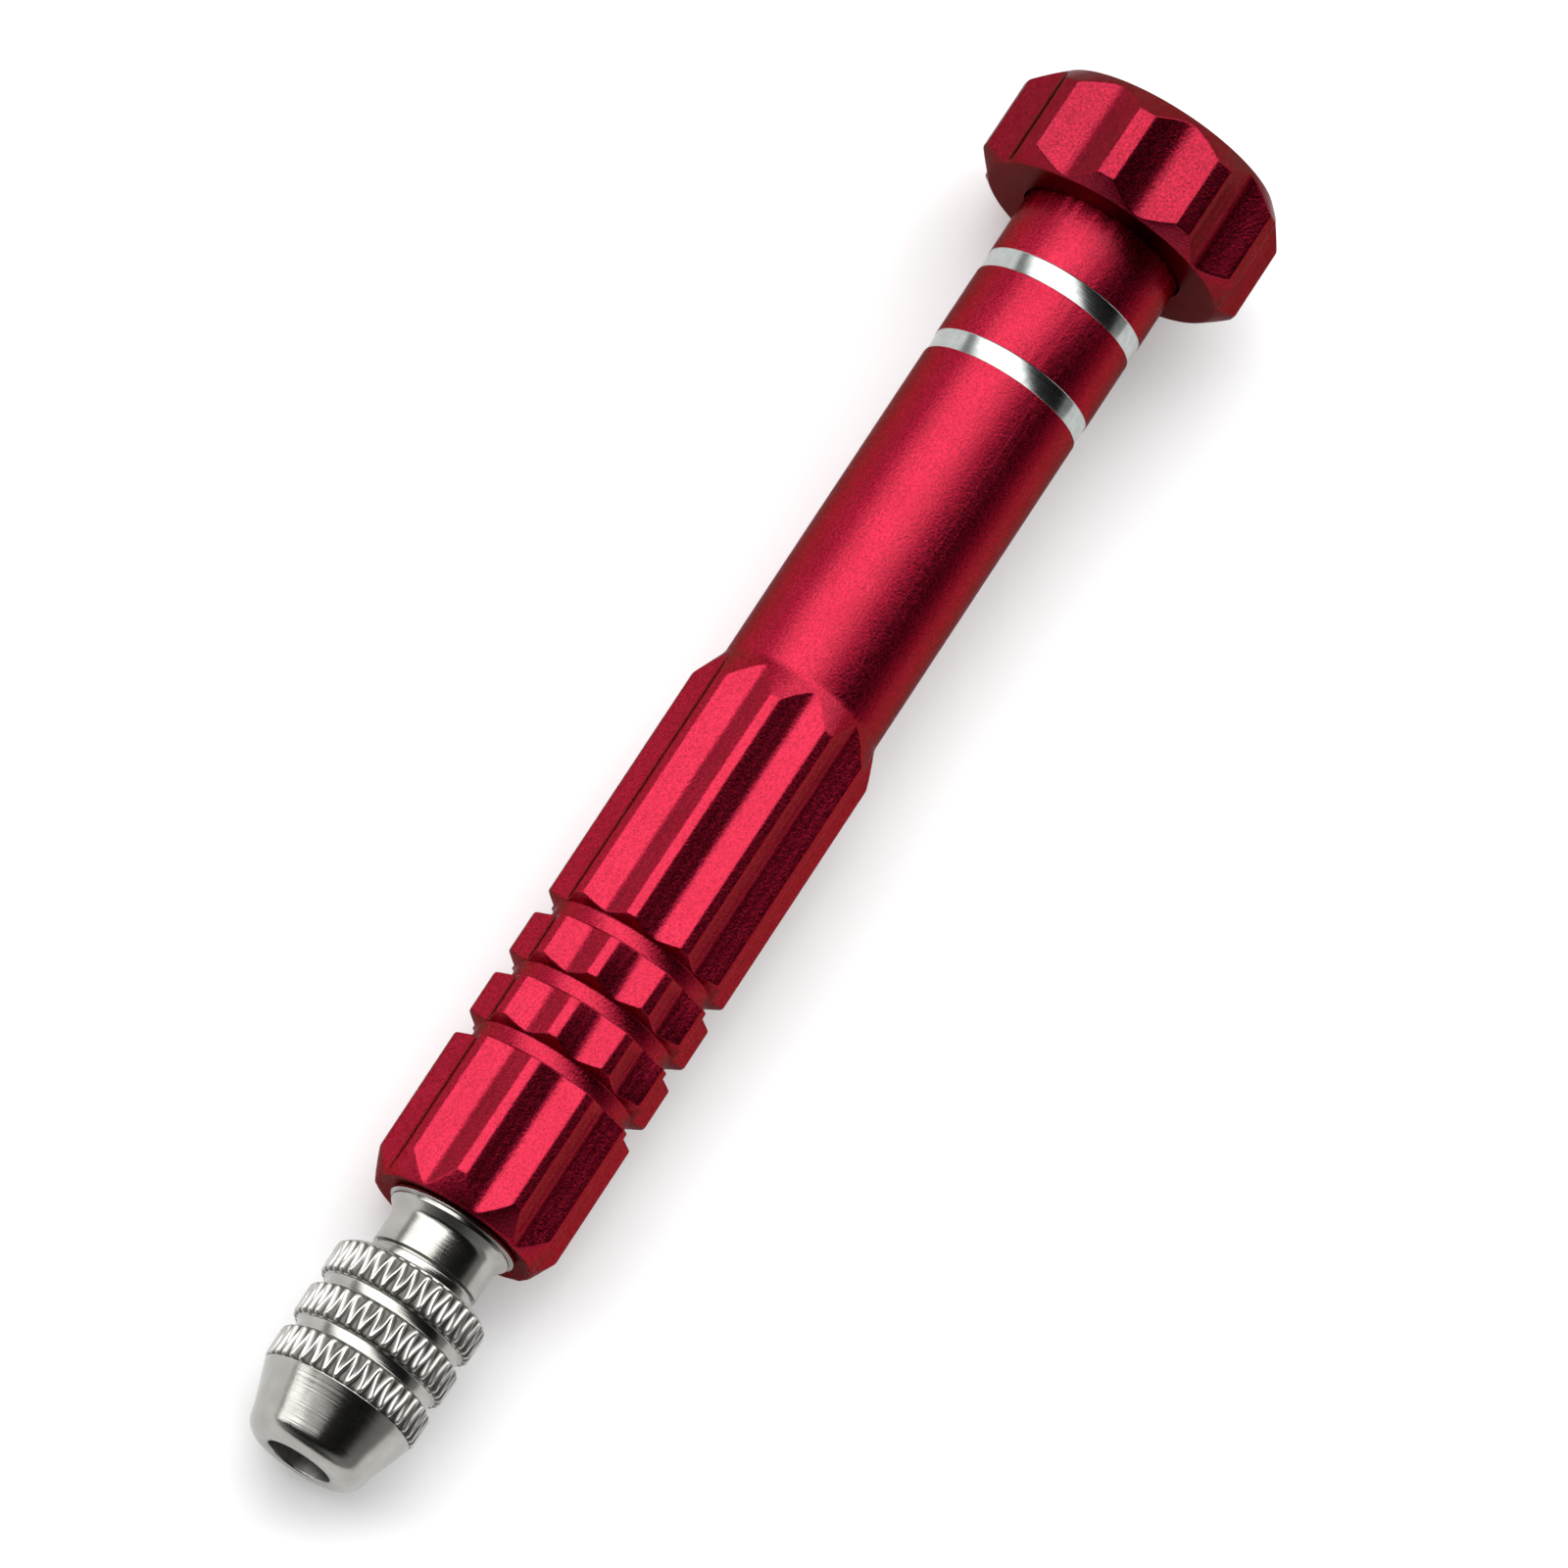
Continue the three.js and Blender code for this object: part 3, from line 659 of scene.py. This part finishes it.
def nut_nose():
    """The cone, the round to the nose face, the nose hole, the collet's seat and the inner wall.

    The cone has rows near both of its ends, so that its shading stays even.
    """
    cone_gap, rear_rows, front_row, face_steps = 0.05, (0.0, 0.05, 0.12), 0.3, 8
    flat_edge, wall_row = 0.1, 1.0
    start = RING_STARTS[-1] + RING_WIDTH + cone_gap
    slope = (NUT_CONE_R - NUT_CONE_END_R) / (NUT_CONE_END - start)
    rows = (*rear_rows, NUT_CONE_END - front_row - start)
    cone = [Vector((NUT_CONE_R - slope * row, start + row)) for row in rows]
    radii = (NUT_CONE_END_R - NUT_FACE_R, LENGTH - NUT_CONE_END)
    face = arc((NUT_FACE_R, NUT_CONE_END), radii, 0, 90, face_steps)
    inside = softened([
        (NUT_FACE_R - flat_edge, LENGTH), (NOSE_HOLE_R, LENGTH, 0.12), (NOSE_HOLE_R, SEAT_END),
        (NUT_THREAD_R, SEAT_START), (NUT_THREAD_R, NUT_START + wall_row),
    ])
    return cone + [Vector(point) for point in face[1:]] + inside


def nut_column(angle, rear, rings, grooves, nose):
    """One outline of the nut, and the knurl's height, 0 to 1, at each of its points."""
    plain, ring_shift = 0.5, 0.37  # each ring's knurl starts this much of a knurl further round
    across = angle * KNURLS / (2 * math.pi)
    column, heights = list(rear), [plain] * len(rear)
    for index, ring in enumerate(rings):
        for z, base, share, fade in ring:
            lift = knurl_height(across + ring_shift * index, share) * fade
            column.append(Vector((base + RIDGE_HEIGHT * lift, z)))
            heights.append(lift)
        if index < len(grooves):
            column += grooves[index]
            heights += [plain] * len(grooves[index])
    return column + nose, heights + [plain] * len(nose)


def make_nut(steel, knurl, inside):
    """The chuck nut; the knurl's height is kept at each point, for the knurl's material."""
    slack, lip = 0.02, 0.2         # the inner wall's limit, and the bright lip left inside the nose
    rings = [knurl_rows(start) for start in RING_STARTS]
    grooves = [nut_groove(start, after) for start, after in zip(RING_STARTS, RING_STARTS[1:])]
    rear, nose = nut_rear(), nut_nose()
    angles = even_angles(KNURLS * KNURL_COLUMNS)
    columns, heights = zip(*(nut_column(angle, rear, rings, grooves, nose) for angle in angles))
    nut = skin("nut", columns, angles, closed=True)
    marks = nut.data.attributes.new("knurl_height", "FLOAT", "POINT")
    marks.data.foreach_set("value", [height for row in zip(*heights) for height in row])
    # Painted shade: the nut's inner wall, seat and thread take the dark jaw steel as the shade inside the
    # hole; a lip at the nose keeps the plate.
    for face in nut.data.polygons:
        radius = math.hypot(face.center.x, face.center.y)
        on_ring = any(start < face.center.z < start + RING_WIDTH for start in RING_STARTS)
        if radius > NUT_GROOVE_R and on_ring:
            face.material_index = 1
        elif radius < NUT_THREAD_R + slack and face.center.z < LENGTH - lip:
            face.material_index = 2
    finish_piece(nut, "nut", "chuck_steel", [steel, knurl, inside], "chuck_nut")


# ---------------------------------------------------------------- stored bits
# Each function gives a tip's section as a radius by angle; the neck's radius limits it.
def polygon_section(sides, corner_r):
    flat, turn = corner_r * math.cos(math.pi / sides), math.pi / sides
    return lambda angle: flat / math.cos((angle + turn) % (2 * turn) - turn)


def blade_section(half_width):
    return lambda angle: half_width / max(abs(math.cos(angle)), TINY)


def cross_section(half_width):
    def radius(angle):
        off = angle % (math.pi / 2)
        return half_width / max(math.sin(min(off, math.pi / 2 - off)), TINY)

    return radius


def star_section(middle_r, wave, points):
    return lambda angle: middle_r + wave * math.cos(points * angle)


# tip: (section, length of the tip, radius of its very end, plain shank outwards)
BITS = {
    "slotted": (blade_section(0.22), 2.4, NECK_R, False),
    "hex": (polygon_section(6, 0.9), 3.0, NECK_R, True),
    "star": (star_section(0.8, 0.13, 6), 2.5, NECK_R, True),
    "cross": (cross_section(0.17), 1.6, 0.3, False),
    "triangle": (polygon_section(3, 0.92), 2.5, NECK_R, False),
}


def make_bit(index, tip, steel):
    section, tip_length, end_r, shank_out = BITS[tip]
    angles = even_angles(BIT_STEPS)
    columns = []
    for angle in angles:
        size = section(angle)
        at_end, at_root = min(size, end_r), min(size, NECK_R)
        columns.append(softened([
            (0, 0), (at_end, 0), (at_root, tip_length), (NECK_R, tip_length + TIP_ROOT),
            (NECK_R, NECK_LENGTH, 0.4), (BIT_R, NECK_LENGTH + NECK_FLARE, 0.3),
            (BIT_R, BIT_LENGTH, 0.25), (0, BIT_LENGTH),
        ], radius=FINE_EDGE))
    bit = skin(f"stored_bit_{tip}", columns, angles)
    place = 2 * math.pi * index / len(BITS)
    move = Matrix.Translation((BIT_RING_R * math.cos(place), BIT_RING_R * math.sin(place), BIT_START))
    if shank_out:
        move = move @ Matrix.Translation((0, 0, BIT_LENGTH)) @ Matrix.Rotation(math.pi, 4, "X")
    bit.data.transform(move)
    finish_piece(bit, f"{tip}_bit", "bit_steel", [steel], f"bit_{tip}")


# ---------------------------------------------------------------- camera, floor and light
def make_camera():
    """Looks down on the tool from its nose end, turned so that the nose points to the lower left."""
    tilt, swing, roll = math.radians(15.4), math.radians(5.5), math.radians(236.65)
    distance, lens = 1.0, 403.3
    middle, aside, above = 45.8, 2.29, 0.11   # the view's centre: along the tool, and off it, mm
    across = -DOWN * math.cos(swing) - SIDE * math.sin(swing)
    back = across * math.cos(tilt) + AXIS * math.sin(tilt)
    along = (AXIS - back * AXIS.dot(back)).normalized()
    beside = back.cross(along)
    right = along * math.cos(roll) - beside * math.sin(roll)
    up = along * math.sin(roll) + beside * math.cos(roll)
    target = BASE + (AXIS * middle + right * aside + up * above) * MM
    turn = Matrix((right, up, back)).transposed()
    camera = bpy.data.objects.new("camera", bpy.data.cameras.new("camera"))
    bpy.context.scene.collection.objects.link(camera)
    camera.matrix_world = Matrix.Translation(target + back * distance) @ turn.to_4x4()
    camera.data.lens = lens
    camera.data.clip_start, camera.data.clip_end = 0.01, 20.0
    bpy.context.scene.camera = camera


def make_floor():
    half = 4.0
    corners = [(-half, -half, 0), (half, -half, 0), (half, half, 0), (-half, half, 0)]
    floor = new_object("floor", corners, [(0, 1, 2, 3)])
    material = bpy.data.materials.new("pale_floor")
    n = Nodes(material)
    place = n.add("ShaderNodeTexCoord").outputs["Object"]
    cloud = n.noise(place, size=60.0, detail=3.0)
    colour = n.mix(n.spread(cloud, 0.0, 1.0), grey(0.78), grey(0.82))
    n.set(Base_Color=colour, Roughness=0.75)
    floor.data.materials.append(material)


def area_light(name, direction, distance, size, power, mirrored=True):
    """A rectangular light that faces the tool; one that isn't mirrored doesn't show in metal."""
    light = bpy.data.lights.new(name, "AREA")
    light.shape = "RECTANGLE"
    light.size, light.size_y = size
    light.energy = power
    lamp = bpy.data.objects.new(name, light)
    bpy.context.scene.collection.objects.link(lamp)
    lamp.visible_glossy = mirrored
    direction = Vector(direction).normalized()
    lamp.location = direction * distance
    lamp.rotation_mode = "QUATERNION"
    lamp.rotation_quaternion = direction.to_track_quat("Z", "Y")


def make_world():
    """A pale studio: a long soft box over one side of the tool and a long dark gap over the other.

    Both run along the tool, slanted so that the light on its metal leans as it goes along, and the
    room is dark where the nose points. The camera itself sees plain white.
    """
    room_level, box_level, gap_level, front_level, seen_level = 0.38, 3.5, 0.01, 0.05, 1.0
    box_tilt, box_outer, box_inner = -34.0, 46.0, 28.0     # degrees over from straight up, towards +Y
    gap_tilt, gap_outer, gap_inner = 41.0, 36.0, 27.0
    squeeze = 0.35                 # makes both patches long in X
    slant_offset, slant_rise = 0.235, 1.35
    front_start, front_full = 0.72, 0.96

    world = bpy.data.worlds.new("studio")
    bpy.context.scene.world = world
    n = Nodes(world)

    def vector_math(operation, a, b=None):
        inputs = {0: a} if b is None else {0: a, 1: b}
        return n.add("ShaderNodeVectorMath", inputs, operation=operation).outputs

    def fade(value, start, full):
        """0 at start and 1 at full, smoothly."""
        inputs = {"Value": value, "From Min": start, "From Max": full}
        return n.add("ShaderNodeMapRange", inputs, interpolation_type="SMOOTHSTEP").outputs["Result"]

    place = n.add("ShaderNodeTexCoord").outputs["Generated"]
    long_ways = vector_math("MULTIPLY", place, (squeeze, 1.0, 1.0))["Vector"]
    ahead = vector_math("DOT_PRODUCT", place, (1.0, 0.0, 0.0))["Value"]
    slant = n.add("ShaderNodeMath", {0: ahead, 1: slant_offset}, operation="ADD").outputs[0]
    slant = n.add("ShaderNodeMath", {0: slant, 1: slant_rise}, operation="MULTIPLY").outputs[0]
    aside = n.add("ShaderNodeCombineXYZ", {"Y": slant}).outputs["Vector"]
    slanted = vector_math("ADD", long_ways, aside)["Vector"]
    toward = vector_math("NORMALIZE", slanted)["Vector"]

    def patch(degrees, outer, inner):
        """1 in a long patch that many degrees over from straight up, 0 outside it."""
        tilt = math.radians(degrees)
        dot = vector_math("DOT_PRODUCT", toward, (0.0, math.sin(tilt), math.cos(tilt)))["Value"]
        return fade(dot, math.cos(math.radians(outer)), math.cos(math.radians(inner)))

    room = n.mix(patch(box_tilt, box_outer, box_inner), grey(room_level), grey(box_level))
    room = n.mix(patch(gap_tilt, gap_outer, gap_inner), room, grey(gap_level))
    room = n.mix(fade(ahead, front_start, front_full), room, grey(front_level))
    seen = n.add("ShaderNodeLightPath").outputs["Is Camera Ray"]
    n.put(n.tree.nodes["Background"].inputs["Color"], n.mix(seen, room, grey(seen_level)))


def make_lights():
    area_light("key", (0.1, -0.5, 0.85), distance=0.9, size=(0.8, 0.8), power=2.4)
    area_light("fill", (0.0, 0.7, 0.7), distance=1.2, size=(1.6, 1.2), power=9.0, mirrored=False)


# ---------------------------------------------------------------- build
make_camera()
red = anodised_red(
    "anodised_handle", dark=rgb(0.15, 0.003, 0.011), light=rgb(0.38, 0.013, 0.040),
    veil=rgb(0.19, 0.004, 0.015), smooth=0.2, rough=0.34,
)
# Painted shade: the knob's red is a darker copy of the handle's, for the deeper shade on the knob.
knob_red_painted_shade = anodised_red(
    "anodised_knob", dark=rgb(0.09, 0.002, 0.008), light=rgb(0.30, 0.010, 0.031),
    veil=rgb(0.11, 0.003, 0.010), smooth=0.15, rough=0.26,
)
steel = nickel_steel()
screw_steel = plain_steel("screw_steel", rgb(0.42, 0.42, 0.40), rgb(0.62, 0.62, 0.60), rough=0.3)
# Dark steel for the collet's jaws, also used as painted shade on the nut's inner wall.
jaw_steel_and_hole_shade = plain_steel("jaw_steel_and_hole_shade", rgb(0.16, 0.155, 0.15), rgb(0.30, 0.29, 0.28), rough=0.36)
dark_bits = black_oxide()

make_handle(red, bare_aluminium())
make_knob(knob_red_painted_shade)
make_plug(milky_nylon())
make_o_ring(black_rubber())
make_swivel(screw_steel)
make_chuck_body(steel)
make_collet(jaw_steel_and_hole_shade)
make_nut(steel, knurled_steel(), jaw_steel_and_hole_shade)
for number, tip_name in enumerate(BITS):
    make_bit(number, tip_name, dark_bits)

make_floor()
make_world()
make_lights()
bpy.context.scene.view_settings.view_transform = "Standard"
